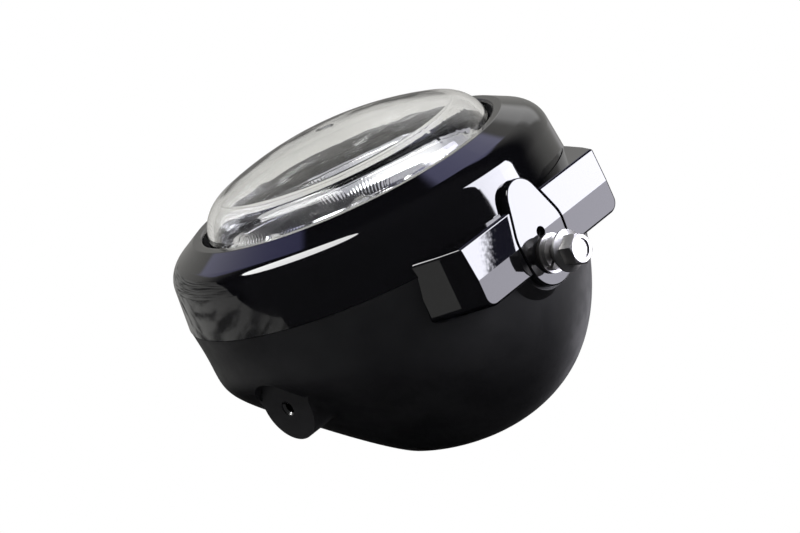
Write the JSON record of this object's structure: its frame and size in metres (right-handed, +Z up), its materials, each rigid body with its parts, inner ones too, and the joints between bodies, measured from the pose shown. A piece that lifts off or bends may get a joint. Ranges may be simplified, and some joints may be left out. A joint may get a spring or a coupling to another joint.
{
  "type": "round motorcycle headlight",
  "caption": "Round motorcycle headlight: domed clear lens in a deep gloss black trim ring on a satin black bucket, with side bolts for brackets and a bottom lug.",
  "frame": {"origin": "where the axis of the two side bolts crosses the optical axis", "axes": "+X the lamp's own left (the rider's left), +Y towards the back, so light leaves along -Y, +Z up as mounted"},
  "size_m": [0.23, 0.1606, 0.1844],
  "materials": {
    "gloss_black": "gloss black, polished",
    "satin_black": "satin black paint",
    "clear_lens": "clear, smooth",
    "seal_rubber": "matte",
    "mirror_coat": "vacuum metallised",
    "spring_steel": "bright spring steel",
    "plated_steel": "bright plated steel",
    "stainless": "polished stainless steel",
    "bulb_glass": "clear quartz glass",
    "black_screw": "blackened steel",
    "holder_plastic": "moulded black plastic"
  },
  "bodies": {
    "root": {"bucket": "satin_black", "trim_ring": "gloss_black", "lens": "clear_lens", "lens_seal": "seal_rubber", "bucket_seal": "seal_rubber", "reflector": "mirror_coat", "retaining_clips": "spring_steel", "bulb_base": "plated_steel", "bulb_glass": "bulb_glass", "bulb_terminals": "plated_steel", "bulb_clip": "spring_steel", "bulb_boot": "seal_rubber", "position_lamp_holder": "holder_plastic", "position_bulb": "bulb_glass", "cable_grommet": "seal_rubber", "lug_insert": "plated_steel", "left_strap": "gloss_black", "left_strap_screw": "black_screw", "left_upper_wing": "gloss_black", "left_lower_wing": "gloss_black", "left_wing_screws": "plated_steel", "left_mount_bolt": "stainless", "left_flat_washer": "stainless", "left_lock_washer": "stainless", "right_strap": "gloss_black", "right_strap_screw": "black_screw", "right_upper_wing": "gloss_black", "right_lower_wing": "gloss_black", "right_wing_screws": "plated_steel", "right_mount_bolt": "stainless", "right_flat_washer": "stainless", "right_lock_washer": "stainless"}
  },
  "joints": []
}
